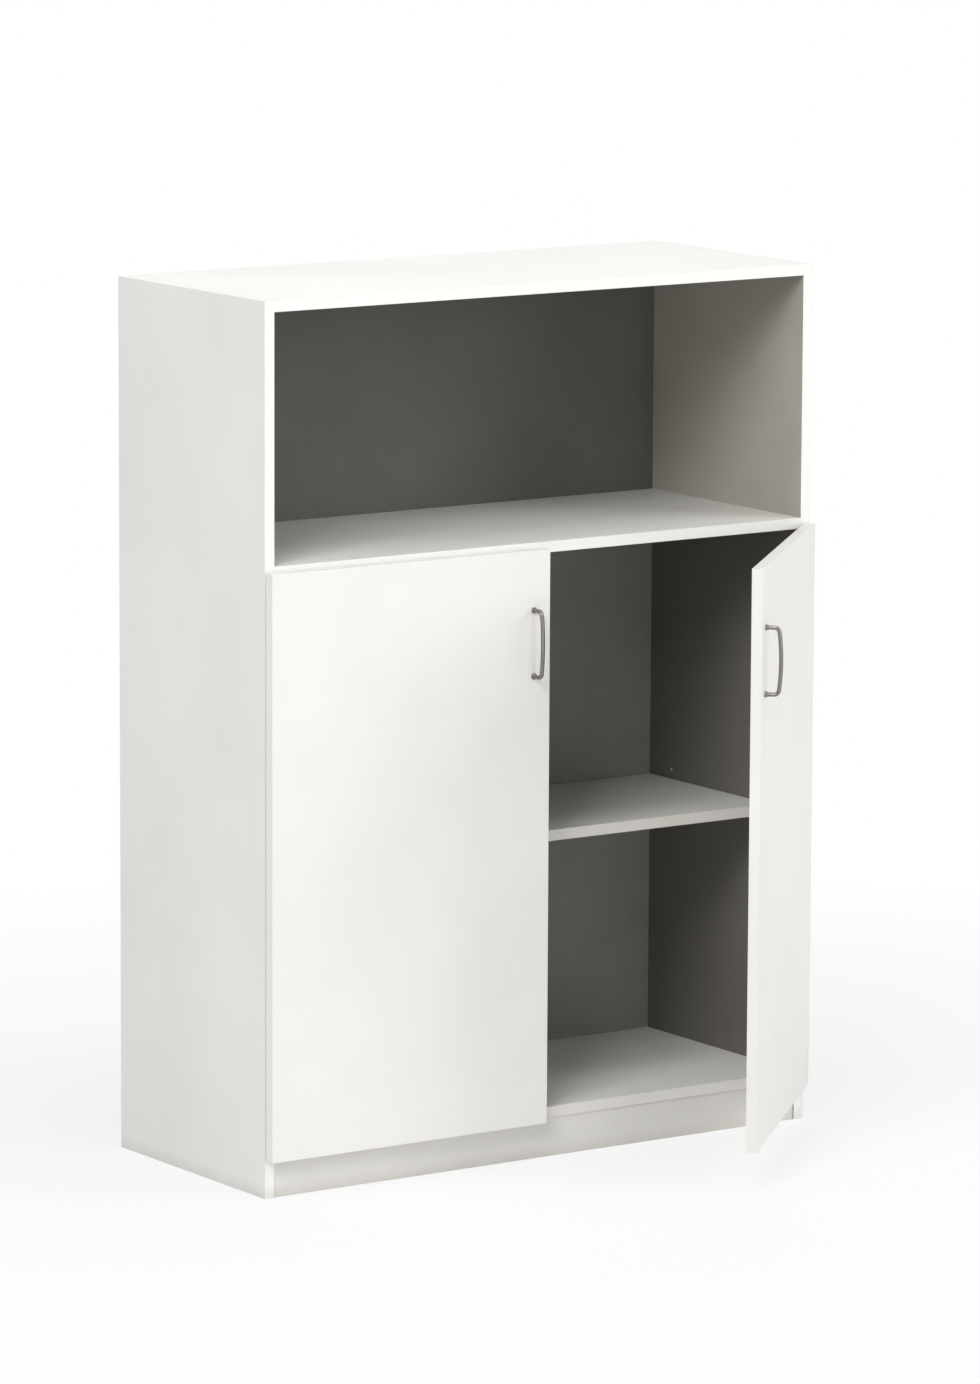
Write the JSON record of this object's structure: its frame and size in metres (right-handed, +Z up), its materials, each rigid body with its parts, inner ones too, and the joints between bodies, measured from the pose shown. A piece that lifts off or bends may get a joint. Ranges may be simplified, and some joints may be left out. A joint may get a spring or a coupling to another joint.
{
  "type": "bookcase cabinet",
  "caption": "Low bookcase in white coated board: an open compartment over a double-door cupboard with loose shelves, bow handles and concealed hinges.",
  "frame": {"origin": "on the floor, at the middle of the front plinth's underside", "axes": "+X to the cabinet's right seen from the front, +Y to its back, +Z up"},
  "size_m": [0.9518, 0.733, 1.28],
  "materials": {
    "white_board": "satin",
    "back_board": "matt",
    "bare_wood": "matt",
    "satin_metal": "satin",
    "hinge_steel": "satin",
    "zinc": "satin"
  },
  "bodies": {
    "carcass": {"side_panel_left": "white_board", "side_panel_right": "white_board", "top_panel": "white_board", "middle_panel": "white_board", "bottom_panel": "white_board", "centre_partition": "white_board", "plinth_front": "white_board", "plinth_rear": "white_board", "back_panel": "back_board", "shelf_left": "white_board", "shelf_right": "white_board", "shelf_pins": "hinge_steel", "cam_locks": "zinc", "cam_bolts": "hinge_steel", "dowels": "bare_wood", "left_hinge_plates": "hinge_steel", "left_plate_screws": "hinge_steel", "left_hinge_arms": "hinge_steel", "left_arm_pins": "hinge_steel", "left_arm_screws": "hinge_steel", "right_hinge_plates": "hinge_steel", "right_plate_screws": "hinge_steel", "right_hinge_arms": "hinge_steel", "right_arm_pins": "hinge_steel", "right_arm_screws": "hinge_steel"},
    "left_outer_links": {"left_outer_links": "hinge_steel"},
    "left_inner_links": {"left_inner_links": "hinge_steel"},
    "left_door": {"left_door": "white_board", "left_hinge_cups": "hinge_steel", "left_cup_screws": "hinge_steel", "left_cup_pins": "hinge_steel", "left_handle": "satin_metal", "left_handle_screws": "hinge_steel"},
    "right_outer_links": {"right_outer_links": "hinge_steel"},
    "right_inner_links": {"right_inner_links": "hinge_steel"},
    "right_door": {"right_door": "white_board", "right_hinge_cups": "hinge_steel", "right_cup_screws": "hinge_steel", "right_cup_pins": "hinge_steel", "right_handle": "satin_metal", "right_handle_screws": "hinge_steel"}
  },
  "joints": [
    {"name": "left_outer_link_turn", "type": "hinge", "parent": "carcass", "child": "left_outer_links", "pos_m": [-0.4538, 0.0023, 0.4765], "axis": [0, 0, -1], "range_deg": [-28.6, 0]},
    {"name": "left_door_swing", "type": "hinge", "parent": "left_outer_links", "child": "left_door", "pos_m": [-0.467, -0.0149, 0.4765], "axis": [0, 0, -1], "range_deg": [0, 122.58]},
    {"name": "left_inner_link_turn", "type": "hinge", "parent": "carcass", "child": "left_inner_links", "pos_m": [-0.4478, -0.0144, 0.4765], "axis": [0, 0, -1], "range_deg": [-11.39, 0]},
    {"name": "right_outer_link_turn", "type": "hinge", "parent": "carcass", "child": "right_outer_links", "pos_m": [0.4538, 0.0023, 0.4765], "axis": [0, 0, 1], "range_deg": [-15.13, 13.49]},
    {"name": "right_door_swing", "type": "hinge", "parent": "right_outer_links", "child": "right_door", "pos_m": [0.46263, -0.0175, 0.4765], "axis": [0, 0, 1], "range_deg": [-57.77, 64.81]},
    {"name": "right_inner_link_turn", "type": "hinge", "parent": "carcass", "child": "right_inner_links", "pos_m": [0.4478, -0.0144, 0.4765], "axis": [0, 0, 1], "range_deg": [-6.03, 5.38]}
  ],
  "couplings": [
    {"joint": "left_outer_link_turn", "follows": "left_door_swing", "ratio": -0.23313},
    {"joint": "left_inner_link_turn", "follows": "left_door_swing", "ratio": -0.092791},
    {"joint": "right_outer_link_turn", "follows": "right_door_swing", "ratio": -0.23313},
    {"joint": "right_inner_link_turn", "follows": "right_door_swing", "ratio": -0.092791}
  ]
}
